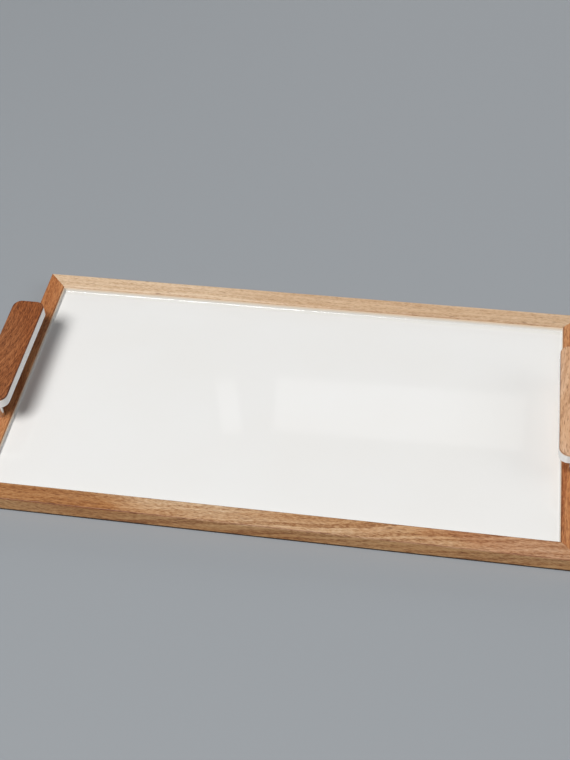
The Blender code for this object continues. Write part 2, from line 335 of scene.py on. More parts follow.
@dataclass(frozen=True)
class WoodFinish:
    """Oiled hardwood: growth rings cut by the board's faces, fine streaks and open pores."""

    pale: Colour
    middle: Colour
    deep: Colour
    tone_stops: Triple = (0.24, 0.49, 0.76)
    blush: Colour = (0.86, 0.72, 0.58)
    blush_stretch: Triple = (5.0, 20.0, 20.0)
    blush_span: Pair = (0.42, 0.60)
    pith: Pair = (0.035, -0.050)
    lean: float = 0.10
    ring_rate: float = 260.0
    ring_share: float = 0.30
    sway: float = 9.0 * MM
    sway_stretch: Triple = (7.0, 16.0, 16.0)
    line_tone: Colour = (0.50, 0.38, 0.32)
    line_width: float = 0.05
    line_strength: float = 0.12
    streak_stretch: Triple = (12.0, 230.0, 230.0)
    streak_share: float = 0.14
    fine_stretch: Triple = (100.0, 800.0, 800.0)
    fine_share: float = 0.24
    fibre_stretch: Triple = (260.0, 1250.0, 1250.0)
    fibre_share: float = 0.32
    pore_stretch: Triple = (150.0, 950.0, 950.0)
    pore_tone: Colour = (0.42, 0.31, 0.25)
    pore_strength: float = 0.50
    pore_edge: float = 0.55
    pore_softness: float = 0.09
    fleck_stretch: Triple = (75.0, 210.0, 210.0)
    fleck_shape: Triple = (0.90, 0.10, 0.26)
    fleck_tone: Colour = (0.30, 0.20, 0.13)
    fleck_strength: float = 0.5
    arris_stretch: Triple = (16.0, 90.0, 90.0)
    arris_span: Pair = (0.36, 0.54)
    arris_tone: Colour = (0.50, 0.37, 0.29)
    arris_least: float = 0.1
    arris_strength: float = 0.95
    # Painted contact shadow: where the foot mark is 1, the rails' feet are darkened to this tone.
    foot_shadow_tone: Colour = (0.10, 0.085, 0.07)
    # drift_and_sheen changes the top's colour from end to end: partly the wood's own colour, partly a
    # painted sheen where the ramp is palest.
    drift_and_sheen: tuple[tuple[float, Colour], ...] = ()
    drift_stretch: Triple = (14.0, 60.0, 60.0)
    drift_wander: float = 0.24
    drift_slant: float = 3.0
    drift_span: Pair = (-0.51, -0.01)
    # Painted shade: the faces below side_top take side_shade_tint in place of the drift, standing in
    # for the light that falls less on them.
    side_shade_tint: Colour = WHITE
    side_top: float = 15.2 * MM
    side_fade: float = 0.6 * MM
    smear_stretch: Triple = (30.0, 60.0, 60.0)
    gloss: float = 0.46
    gloss_change: Pair = (-0.06, 0.10)
    pore_gloss_change: float = 0.12
    sheen_level: float = 0.35
    relief: float = 0.08 * MM
    fibre_relief: float = 0.35
    pore_relief: float = 0.6

    def material(self, name: str, grain: Grain, shift: Triple) -> bpy.types.Material:
        """Build the wood for one board.

        Args:
            name: The material's name.
            grain: Which way the grain runs.
            shift: Where in the timber the board was cut.

        Returns:
            The material.
        """
        writer = ShaderWriter(name)
        place = writer.place(grain.value, shift)
        bent = self._bend(writer, place)
        rings = self._rings(writer, bent)
        streak = writer.noise(bent, self.streak_stretch, 2.0, 0.6)
        fine = writer.spread(writer.noise(bent, self.fine_stretch, 2.0, 0.6), *MOST)
        fibre = writer.noise(bent, self.fibre_stretch, 2.0, 0.6)
        pore = writer.noise(bent, self.pore_stretch, 1.0)
        pore = writer.spread(pore, self.pore_edge, self.pore_edge + self.pore_softness)

        tone = writer.math("MULTIPLY", writer.spread(rings, *MOST), self.ring_share)
        for layer, share in ((writer.spread(streak, *MOST), self.streak_share),
                             (fine, self.fine_share),
                             (writer.spread(fibre, *MOST), self.fibre_share)):
            tone = writer.math("MULTIPLY_ADD", layer, share, tone)
        colour = writer.ramp(tone, zip(self.tone_stops, (self.deep, self.middle, self.pale)))
        line = writer.math("ABSOLUTE", writer.math("SUBTRACT", rings, 0.5))
        line = writer.spread(line, 0.0, self.line_width, self.line_strength, 0.0)
        colour = writer.tint(colour, line, self.line_tone)
        patch = writer.spread(writer.noise(bent, self.blush_stretch), *self.blush_span)
        colour = writer.tint(colour, patch, self.blush)
        # The top takes the drift with its painted sheen; the faces below side_top take the painted
        # side shade.
        if self.drift_and_sheen:
            height = writer.split(writer.place())["Z"]
            top = writer.spread(height, self.side_top - self.side_fade, self.side_top)
            tint = writer.mix(top, self.side_shade_tint, self._drift_and_sheen(writer, grain))
            colour = writer.tint(colour, 1.0, tint)
        fleck = writer.specks(bent, self.fleck_stretch, *self.fleck_shape)
        for mask, strength, dark in ((pore, self.pore_strength, self.pore_tone),
                                     (fleck, self.fleck_strength, self.fleck_tone)):
            colour = writer.tint(colour, writer.math("MULTIPLY", mask, strength), dark)
        rub = writer.noise(place, self.arris_stretch, 2.0, 0.6)
        rub = writer.spread(rub, *self.arris_span, self.arris_least, self.arris_strength)
        arris = writer.math("MULTIPLY", writer.attribute("arris"), rub)
        colour = writer.tint(colour, arris, self.arris_tone)
        # Painted contact shadow along the rails' feet.
        colour = writer.tint(colour, writer.attribute("foot"), self.foot_shadow_tone)

        smear = writer.noise(place, self.smear_stretch, 3.0, 0.6)
        rough = writer.spread(smear, *MOST, *(self.gloss + change for change in self.gloss_change))
        rough = writer.math("MULTIPLY_ADD", pore, self.pore_gloss_change, rough, clamp=True)
        grooves = writer.math("MULTIPLY_ADD", fibre, self.fibre_relief, self.pore_relief)
        grooves = writer.math(
            "SUBTRACT", grooves, writer.math("MULTIPLY", pore, self.pore_relief)
        )
        normal = writer.bump(fine, self.relief, 0.4)
        normal = writer.bump(grooves, self.relief, 0.6, normal)
        return writer.finish(
            Base_Color=colour, Roughness=rough, Normal=normal, Specular_IOR_Level=self.sheen_level,
        )

    def _drift_and_sheen(self, writer: ShaderWriter, grain: Grain) -> Socket:
        """Slow change of the top's colour from one end to the other: partly the wood's own colour,
        partly a painted sheen on its pale stretch.

        Args:
            writer: The material that is written.
            grain: Which way the grain runs.

        Returns:
            The tint at each place along the board.
        """
        place = writer.place(grain.value)
        parts = writer.split(place)
        along = writer.math("MULTIPLY_ADD", parts["Y"], self.drift_slant, parts["X"])
        wander = writer.noise(place, self.drift_stretch)
        along = writer.math("MULTIPLY_ADD", wander, self.drift_wander, along)
        return writer.ramp(writer.spread(along, *self.drift_span), self.drift_and_sheen)

    def _bend(self, writer: ShaderWriter, place: Socket) -> Socket:
        """Coordinates whose grain sways a little sideways, as it grew.

        Args:
            writer: The material that is written.
            place: Coordinates with the grain along X.

        Returns:
            The swaying coordinates.
        """
        sway = writer.noise(place, self.sway_stretch, 1.5, output="Color")
        sway = writer.vector_math("SUBTRACT", sway, (0.5, 0.5, 0.5))
        sway = writer.vector_math("MULTIPLY", sway, (0.0, 2.0 * self.sway, 2.0 * self.sway))
        return writer.vector_math("ADD", place, sway)

    def _rings(self, writer: ShaderWriter, bent: Socket) -> Socket:
        """Tone of the growth rings, which lie round a pith that leans against the board.

        Args:
            writer: The material that is written.
            bent: Swaying coordinates with the grain along X.

        Returns:
            The rings' tone.
        """
        parts = writer.split(bent)
        across = writer.math("SUBTRACT", parts["Y"], self.pith[0])
        below = writer.math("SUBTRACT", parts["Z"], self.pith[1])
        below = writer.math("MULTIPLY_ADD", parts["X"], self.lean, below)
        reach = writer.math("MULTIPLY", across, across)
        reach = writer.math("MULTIPLY_ADD", below, below, reach)
        rings = writer.add("ShaderNodeTexNoise", noise_dimensions="1D")
        radius = writer.math("SQRT", reach)
        writer.feed(rings.inputs["W"], writer.math("MULTIPLY", radius, self.ring_rate))
        for name, value in (("Scale", 1.0), ("Detail", 2.0), ("Roughness", 0.6)):
            rings.inputs[name].default_value = value
        return rings.outputs[0]


@dataclass(frozen=True)
class EnamelFinish:
    """Poured white enamel: glossy, faintly wavy, with a few dust nibs."""

    white: Colour = (0.845, 0.848, 0.845)
    cream: Colour = (0.835, 0.833, 0.823)
    cloud_stretch: Triple = (9.0, 12.0, 12.0)
    cloud_span: Pair = (0.35, 0.70)
    rim_tint: Colour = (0.92, 0.78, 0.64)
    wall_span: Optional[Pair] = None
    # Painted warm bounce light from the wood rails on the walls above wall_span.
    wall_bounce_tint: Colour = (0.99, 0.94, 0.88)
    # Painted shade on the floor by the back cove: where along Y it starts and where it is full, and
    # its tone.
    back_cove_shade_span: Pair = (112.0 * MM, 116.4 * MM)
    back_cove_shade_tint: Colour = (0.80, 0.80, 0.79)
    smear_stretch: Triple = (26.0, 18.0, 18.0)
    smear_span: Pair = (0.35, 0.70)
    roughness: float = 0.020
    roughness_change: float = 0.02
    wave_stretch: Triple = (30.0, 24.0, 24.0)
    wave_height: float = 0.009 * MM
    peel_stretch: Triple = (620.0, 620.0, 620.0)
    peel_height: float = 0.004 * MM
    nib_stretch: Triple = (90.0, 90.0, 90.0)
    nib_shape: Triple = (0.94, 0.02, 0.06)
    nib_height: float = 0.05 * MM
    refraction: float = 1.52

    def material(self, name: str) -> bpy.types.Material:
        """Build the enamel.

        Args:
            name: The material's name.

        Returns:
            The material.
        """
        writer = ShaderWriter(name)
        place = writer.place()
        cloud = writer.noise(place, self.cloud_stretch, 3.0, 0.55)
        colour = writer.mix(writer.spread(cloud, *self.cloud_span), self.white, self.cream)
        if self.wall_span:
            parts = writer.split(place)
            # Painted shade along the back cove.
            back_shade = writer.spread(parts["Y"], *self.back_cove_shade_span)
            # Painted warm bounce light on the walls.
            wall = writer.spread(parts["Z"], *self.wall_span)
            tint = writer.mix(wall, writer.mix(back_shade, WHITE, self.back_cove_shade_tint), self.wall_bounce_tint)
            colour = writer.tint(colour, 1.0, tint)
        colour = writer.tint(colour, writer.attribute("rim"), self.rim_tint)

        smear = writer.spread(
            writer.noise(place, self.smear_stretch, 3.0, 0.6), *self.smear_span,
            self.roughness, self.roughness + self.roughness_change,
        )
        wave = writer.noise(place, self.wave_stretch, 1.0, 0.4)
        peel = writer.noise(place, self.peel_stretch, 1.0, 0.4)
        nib = writer.specks(place, self.nib_stretch, *self.nib_shape)
        normal = writer.bump(wave, self.wave_height)
        normal = writer.bump(peel, self.peel_height, 1.0, normal)
        normal = writer.bump(nib, self.nib_height, 0.8, normal)
        return writer.finish(
            Base_Color=colour, Roughness=smear, Normal=normal, IOR=self.refraction,
        )


@dataclass(frozen=True)
class SteelFinish:
    """Turned and polished steel with fine marks round it."""

    bright: Colour = (0.66, 0.65, 0.635)
    dull: Colour = (0.52, 0.505, 0.485)
    smudge_stretch: Triple = (300.0, 300.0, 240.0)
    smudge_span: Pair = (0.42, 0.72)
    roughness: float = 0.10
    roughness_change: float = 0.12
    mark_stretch: Triple = (60.0, 60.0, 5200.0)
    mark_span: Pair = (0.35, 0.65)
    mark_roughness: float = 0.05
    mark_height: float = 0.006 * MM

    def material(self, name: str) -> bpy.types.Material:
        """Build the steel.

        Args:
            name: The material's name.

        Returns:
            The material.
        """
        writer = ShaderWriter(name)
        place = writer.place()
        marks = writer.noise(place, self.mark_stretch, 2.0, 0.6)
        smudge = writer.noise(place, self.smudge_stretch, 3.0, 0.6)
        dulled = writer.spread(smudge, *self.smudge_span)
        rough = writer.spread(
            smudge, *MOST, self.roughness, self.roughness + self.roughness_change
        )
        marked = writer.spread(marks, *self.mark_span, 0.0, self.mark_roughness)
        return writer.finish(
            Base_Color=writer.mix(dulled, self.bright, self.dull),
            Metallic=1.0,
            Roughness=writer.math("ADD", rough, marked),
            Normal=writer.bump(marks, self.mark_height),
        )


# The rails' ramps below hold a painted sheen on the top's pale stretch, and side_shade_tint paints
# shade on their side faces.
BACK_RAIL_WOOD = WoodFinish(
    pale=(0.82, 0.640, 0.460), middle=(0.73, 0.535, 0.360), deep=(0.53, 0.340, 0.195),
    blush=(0.94, 0.90, 0.86), pith=(0.14, -0.09), lean=0.03, pore_strength=0.36,
    pore_edge=0.60, fine_share=0.16, fibre_share=0.40, arris_strength=0.5,
    side_shade_tint=(0.92, 0.88, 0.84), drift_slant=0.0, drift_span=(-0.16, 0.38),
    drift_and_sheen=(
        (0.05, (1.00, 1.00, 1.00)),
        (0.40, (0.95, 0.94, 0.93)),
        (0.70, (0.90, 0.86, 0.82)),
        (0.95, (0.86, 0.82, 0.78)),
    ),
)
FRONT_RAIL_WOOD = WoodFinish(
    pale=(0.70, 0.515, 0.345), middle=(0.56, 0.360, 0.205), deep=(0.31, 0.150, 0.066),
    pith=(0.10, 0.05), lean=-0.16, streak_share=0.10, fine_share=0.14, fibre_share=0.46,
    pore_strength=0.40, side_shade_tint=(0.92, 0.81, 0.62),
    drift_and_sheen=(
        (0.06, (0.74, 0.56, 0.39)),
        (0.22, (0.80, 0.63, 0.46)),
        (0.32, (0.96, 0.90, 0.84)),
        (0.48, (1.00, 1.00, 1.00)),
        (0.70, (1.00, 1.00, 1.00)),
        (0.86, (0.87, 0.73, 0.68)),
    ),
)
LEFT_RAIL_WOOD = WoodFinish(
    pale=(0.63, 0.310, 0.134), middle=(0.50, 0.208, 0.080), deep=(0.31, 0.108, 0.035),
    lean=0.05, arris_strength=0.2,
)
RIGHT_RAIL_WOOD = WoodFinish(
    pale=(0.63, 0.320, 0.142), middle=(0.52, 0.230, 0.095), deep=(0.33, 0.115, 0.042),
    lean=-0.04,
)
LEFT_HANDLE_WOOD = WoodFinish(
    pale=(0.44, 0.180, 0.072), middle=(0.32, 0.118, 0.043), deep=(0.155, 0.050, 0.018),
    pith=(0.0, -0.030), lean=0.16, ring_rate=520.0, sway=12.0 * MM, line_strength=0.55,
    streak_share=0.08, fine_share=0.12, fibre_share=0.50, pore_strength=0.55, pore_edge=0.56,
)
RIGHT_HANDLE_WOOD = WoodFinish(
    pale=(0.82, 0.620, 0.470), middle=(0.75, 0.530, 0.380), deep=(0.60, 0.390, 0.260),
    pith=(0.0, -0.030), lean=-0.12, sway=13.0 * MM,
)
PANEL_WOOD = WoodFinish(
    pale=(0.66, 0.49, 0.31), middle=(0.52, 0.35, 0.20), deep=(0.34, 0.21, 0.11),
    gloss=0.62, sheen_level=0.25, arris_strength=0.0, pore_strength=0.35,
)
DOWEL_WOOD = WoodFinish(
    pale=(0.74, 0.58, 0.40), middle=(0.64, 0.47, 0.30), deep=(0.46, 0.31, 0.18),
    gloss=0.60, sheen_level=0.25, arris_strength=0.0, pore_strength=0.30,
)
ENAMEL = EnamelFinish()
# The lining gets painted warm bounce light on its walls and painted shade by the back cove.
LINING_ENAMEL = EnamelFinish(wall_span=(10.5 * MM, 12.0 * MM))
POST_STEEL = SteelFinish()
SCREW_STEEL = SteelFinish(
    bright=(0.56, 0.56, 0.57), dull=(0.42, 0.42, 0.43), roughness=0.26,
)


# --- Mesh tools ---


def link_mesh(name: str, builder: bmesh.types.BMesh, outward: bool = True) -> Piece:
    """Turn a filled bmesh into an object in the scene.

    Args:
        name: The object's name.
        builder: The mesh being built, which is freed.
        outward: Whether to turn every face outwards.

    Returns:
        The new object.
    """
    if outward:
        bmesh.ops.recalc_face_normals(builder, faces=builder.faces)
    mesh = bpy.data.meshes.new(name)
    builder.to_mesh(mesh)
    builder.free()
    piece = bpy.data.objects.new(name, mesh)
    bpy.context.scene.collection.objects.link(piece)
    return piece


def settle(piece: Piece) -> Piece:
    """Turn a piece with live modifiers into a plain mesh.

    Args:
        piece: The object, which loses its modifiers.

    Returns:
        The same object.
    """
    graph = bpy.context.evaluated_depsgraph_get()
    mesh = bpy.data.meshes.new_from_object(piece.evaluated_get(graph), depsgraph=graph)
    mesh.name = piece.name
    piece.modifiers.clear()
    piece.data = mesh
    return piece


def smooth(piece: Piece, angle: float = SMOOTH_ANGLE) -> None:
    """Shade a piece smooth but keep its large faces flat.

    Args:
        piece: The mesh object.
        angle: The largest angle between faces that is still smooth, in degrees.
    """
    piece.data.shade_smooth()
    piece.data.set_sharp_from_angle(angle=math.radians(angle))
    modifier = piece.modifiers.new("flat_faces", "WEIGHTED_NORMAL")
    modifier.keep_sharp = True
    settle(piece)


def drill(piece: Piece, cutter: Piece) -> None:
    """Cut holes in a piece and keep the result as a plain mesh.

    Args:
        piece: The object to drill.
        cutter: The shape of the holes.
    """
    modifier = piece.modifiers.new("drill", "BOOLEAN")
    modifier.operation = "DIFFERENCE"
    modifier.solver = "EXACT"
    modifier.object = cutter
    settle(piece)


def drop(piece: Piece) -> None:
    """Remove an object that was only needed while building."""
    bpy.data.objects.remove(piece, do_unlink=True)


def plan_outline(length: float, width: float, radius: float, corner_steps: int,
                 side_steps: tuple[int, int]) -> list[Vector]:
    """Outline of a rectangle with rounded corners, anticlockwise from above.

    Args:
        length: Size along X.
        width: Size along Y.
        radius: Radius of the corners.
        corner_steps: Steps round each corner.
        side_steps: Steps along the sides that face X and along those that face Y.

    Returns:
        The points, always the same number for the same steps.
    """
    points: list[Vector] = []
    reach = Vector((length / 2.0 - radius, width / 2.0 - radius))
    centres = [Vector((reach.x * x, reach.y * y)) for x, y in ((1, 1), (-1, 1), (-1, -1), (1, -1))]
    for quarter, centre in enumerate(centres):
        start = math.pi / 2.0 * quarter
        for step in range(corner_steps + 1):
            angle = start + math.pi / 2.0 * step / corner_steps
            points.append(centre + Vector((math.cos(angle), math.sin(angle))) * radius)
        turn = start + math.pi / 2.0
        outward = Vector((math.cos(turn), math.sin(turn))) * radius
        steps = side_steps[1 - quarter % 2]
        for step in range(1, steps):
            points.append(centre.lerp(centres[(quarter + 1) % 4], step / steps) + outward)
    return points


def arc(centre: Pair, radius: float, start: float, end: float, steps: int) -> list[Pair]:
    """Points (inset, height) on an arc.

    Args:
        centre: The arc's centre.
        radius: The arc's radius.
        start: First angle in degrees.
        end: Last angle in degrees.
        steps: Steps along the arc.

    Returns:
        The points, ends included.
    """
    points: list[Pair] = []
    for step in range(steps + 1):
        angle = math.radians(start + (end - start) * step / steps)
        points.append((centre[0] + radius * math.cos(angle), centre[1] + radius * math.sin(angle)))
    return points


@dataclass(frozen=True)
class RingShape:
    """Solid made of level rings, from a lower cap to an upper one."""

    length: float
    width: float
    corner_steps: int
    side_steps: tuple[int, int]

    def build(self, name: str, centre: Vector, rings: Sequence[Ring], tags: dict[str, set[int]],
              wobble: Optional[Callable[[int, Vector], Vector]] = None,
              band: bool = False) -> Piece:
        """Build the solid.

        Args:
            name: The object's name.
            centre: Where the middle of the outline lies, in X and Y.
            rings: Inset, height and corner radius of each ring.
            tags: Attribute names, and the rings on which each one is 1.
            wobble: Offset of a point, from its ring's number and its place.
            band: Whether the last ring meets the first one, with no caps.

        Returns:
            The object.
        """
        builder = bmesh.new()
        layers = {tag: builder.verts.layers.float.new(tag) for tag in tags}
        loops = []
        for number, (inset, height, radius) in enumerate(rings):
            corners = []
            for point in plan_outline(self.length - 2.0 * inset, self.width - 2.0 * inset,
                                      radius, self.corner_steps, self.side_steps):
                place = Vector((centre.x + point.x, centre.y + point.y, height))
                if wobble is not None:
                    place += wobble(number, place)
                corner = builder.verts.new(place)
                for tag, chosen in tags.items():
                    corner[layers[tag]] = 1.0 if number in chosen else 0.0
                corners.append(corner)
            loops.append(corners)
        above = loops[1:] + loops[:1] if band else loops[1:]
        for lower, upper in zip(loops, above):
            for index, corner in enumerate(lower):
                after = (index + 1) % len(lower)
                builder.faces.new((corner, lower[after], upper[after], upper[index]))
        if not band:
            builder.faces.new(tuple(reversed(loops[0])))
            builder.faces.new(tuple(loops[-1]))
        return link_mesh(name, builder)


def wandering(rings: set[int], drop_by: Callable[[Vector], float]
              ) -> Callable[[int, Vector], Vector]:
    """Offset that lowers some of a solid's rings by a smoothly changing amount.

    Args:
        rings: The numbers of the rings that are lowered.
        drop_by: How far a ring is lowered at a place.

    Returns:
        The offset of a point, from its ring's number and its place.
    """
    return lambda number, place: Vector((0.0, 0.0, -drop_by(place) if number in rings else 0.0))


def turned(profile: Sequence[Pair], segments: int) -> bmesh.types.BMesh:
    """Solid of revolution about Z, with its ends on the axis.

    Args:
        profile: Pairs of radius and height.
        segments: Steps round the axis.

    Returns:
        The mesh being built.
    """
    builder = bmesh.new()
    points = [builder.verts.new((radius, 0.0, height)) for radius, height in profile]
    edges = [builder.edges.new(pair) for pair in zip(points, points[1:])]
    bmesh.ops.spin(
        builder, geom=points + edges, cent=(0.0, 0.0, 0.0), axis=(0.0, 0.0, 1.0),
        angle=2.0 * math.pi, steps=segments, use_duplicate=False,
    )
    bmesh.ops.remove_doubles(builder, verts=builder.verts, dist=MERGE_DISTANCE)
    return builder


def add_rod(builder: bmesh.types.BMesh, radius: float, length: float, placing: Matrix,
            segments: int) -> None:
    """Add a rod, whose own axis is Z, to a mesh being built."""
    bmesh.ops.create_cone(
        builder, cap_ends=True, segments=segments, radius1=radius, radius2=radius,
        depth=length, matrix=placing,
    )


# --- Geometry Nodes ---


class NodeRecipe(TreeWriter):
    """A Geometry Nodes tree with named inputs."""

    def __init__(self, name: str, inputs: dict[str, str]) -> None:
        """Start the tree and its interface.

        Args:
            name: The tree's name.
            inputs: Input names and their socket types, without the common prefix.
        """
        super().__init__(bpy.data.node_groups.new(name, "GeometryNodeTree"))
        sockets = self.tree.interface
        self.identifiers: dict[str, str] = {}
        for label, kind in {"Geometry": "Geometry", **inputs}.items():
            made = sockets.new_socket(name=label, in_out="INPUT", socket_type=f"NodeSocket{kind}")
            self.identifiers[label] = made.identifier
        sockets.new_socket(name="Geometry", in_out="OUTPUT", socket_type="NodeSocketGeometry")
        self.given = self.add("NodeGroupInput").outputs

    def close(self, geometry: Socket) -> None:
        """End the tree in Realize Instances and Set Material.

        Args:
            geometry: The finished geometry.
        """
        real = self.add("GeometryNodeRealizeInstances", {"Geometry": geometry})
        dress = self.add("GeometryNodeSetMaterial", {
            "Geometry": real.outputs["Geometry"], "Material": self.given["Material"],
        })
        self.add("NodeGroupOutput", {"Geometry": dress.outputs["Geometry"]})

    def run(self, piece: Piece, values: dict[str, Any]) -> Piece:
        """Run the tree on an object and keep the result as a plain mesh.

        Args:
            piece: The object whose mesh is the tree's geometry.
            values: A value for each named input.

        Returns:
            The same object.
        """
        modifier = piece.modifiers.new(self.tree.name, "NODES")
        modifier.node_group = self.tree
        for label, value in values.items():
            modifier[self.identifiers[label]] = value
        return settle(piece)


class RailSweep(NodeRecipe):
    """Sweeps a rail's section along it, mitres its ends and wears its surface a little."""

    def __init__(self) -> None:
        """Build the tree."""
        super().__init__("rail_sweep", {
            "Length": "Float", "Mitre Shift": "Float", "Steps": "Int", "Wear": "Float",
            "Wear Size": "Float", "Seed": "Int", "Place": "Vector", "Turn": "Vector",
            "Material": "Material",
        })
        section = self.add("GeometryNodeMeshToCurve", {"Mesh": self.given["Geometry"]})
        line = self.add("GeometryNodeCurvePrimitiveLine", {
            "Start": (-1.0, 0.0, 0.0), "End": (1.0, 0.0, 0.0),
        })
        steps = self.add("GeometryNodeResampleCurve", {
            "Curve": line.outputs["Curve"], "Count": self.given["Steps"],
        })
        sweep = self.add("GeometryNodeCurveToMesh", {
            "Curve": steps.outputs["Curve"], "Profile Curve": section.outputs["Curve"],
            "Fill Caps": True,
        })
        placed = self.add("GeometryNodeTransform", {
            "Geometry": self._wear(self._mitre(sweep.outputs["Mesh"])),
            "Translation": self.given["Place"], "Rotation": self.given["Turn"],
        })
        self.close(placed.outputs["Geometry"])

    def _mitre(self, geometry: Socket) -> Socket:
        """Stretch the unit sweep to its length, shorter towards its inner face.

        Args:
            geometry: The swept section, from -1 to 1 along X.

        Returns:
            The mitred rail's geometry.
        """
        parts = self.split(self.add("GeometryNodeInputPosition").outputs[0])
        half = self.math("MULTIPLY", self.given["Length"], 0.5)
        reach = self.math("SUBTRACT", half, parts["Y"])
        reach = self.math("SUBTRACT", reach, self.given["Mitre Shift"])
        moved = self.add("ShaderNodeCombineXYZ", {
            "X": self.math("MULTIPLY", parts["X"], reach), "Y": parts["Y"], "Z": parts["Z"],
        })
        return self.add("GeometryNodeSetPosition", {
            "Geometry": geometry, "Position": moved.outputs[0],
        }).outputs["Geometry"]

    def _wear(self, geometry: Socket) -> Socket:
        """Rub the arrises down unevenly, never outwards.

        Args:
            geometry: The mitred rail.

        Returns:
            The worn rail's geometry.
        """
        texture = self.add("ShaderNodeTexNoise", noise_dimensions="4D")
        for name, value in (
            ("Vector", self.add("GeometryNodeInputPosition").outputs[0]),
            ("Scale", self.math("DIVIDE", 1.0, self.given["Wear Size"])),
            ("W", self.given["Seed"]),
            ("Detail", 2.0),
        ):
            self.feed(texture.inputs[name], value)
        edge = self.add("GeometryNodeInputNamedAttribute", {"Name": "arris"}, data_type="FLOAT")
        depth = self.math("MULTIPLY", texture.outputs[0], self.given["Wear"])
        depth = self.math("MULTIPLY", depth, edge.outputs["Attribute"])
        inward = self.add("ShaderNodeVectorMath", operation="SCALE")
        self.feed(inward.inputs[0], self.add("GeometryNodeInputNormal").outputs[0])
        self.feed(inward.inputs["Scale"], self.math("MULTIPLY", depth, -1.0))
        return self.add("GeometryNodeSetPosition", {
            "Geometry": geometry, "Offset": inward.outputs[0],
        }).outputs["Geometry"]


class FourCopies(NodeRecipe):
    """Stands a part at the corners of a rectangle, each turned a little differently."""

    def __init__(self) -> None:
        """Build the tree."""
        super().__init__("four_copies", {
            "Spacing X": "Float", "Spacing Y": "Float", "Seed": "Int", "Material": "Material",
        })
        grid = self.add("GeometryNodeMeshGrid", {
            "Size X": self.given["Spacing X"], "Size Y": self.given["Spacing Y"],
            "Vertices X": 2, "Vertices Y": 2,
        })
        turn = self.add("FunctionNodeRandomValue", {
            "Min": (0.0, 0.0, 0.0), "Max": (0.0, 0.0, 2.0 * math.pi), "Seed": self.given["Seed"],
        }, data_type="FLOAT_VECTOR")
        copies = self.add("GeometryNodeInstanceOnPoints", {
            "Points": grid.outputs["Mesh"], "Instance": self.given["Geometry"],
            "Rotation": turn.outputs["Value"],
        })
        self.close(copies.outputs["Instances"])


# --- Sub-assemblies ---


def mount_piece(piece: Piece, slot: str, *nodes: str) -> None:
    """Ride a finished piece on the body in place of its nodes, and log it.

    Args:
        piece: The finished piece.
        slot: Not used.
        nodes: The nodes that the piece stands for.
    """
    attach(piece, BODY)
    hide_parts(*nodes)
    LOG.info("%s: %d faces for %s", piece.name, len(piece.data.polygons), ", ".join(nodes))


def dress(piece: Piece, material: bpy.types.Material) -> None:
    """Give a piece one material in place of what it has."""
    piece.data.materials.clear()
    piece.data.materials.append(material)


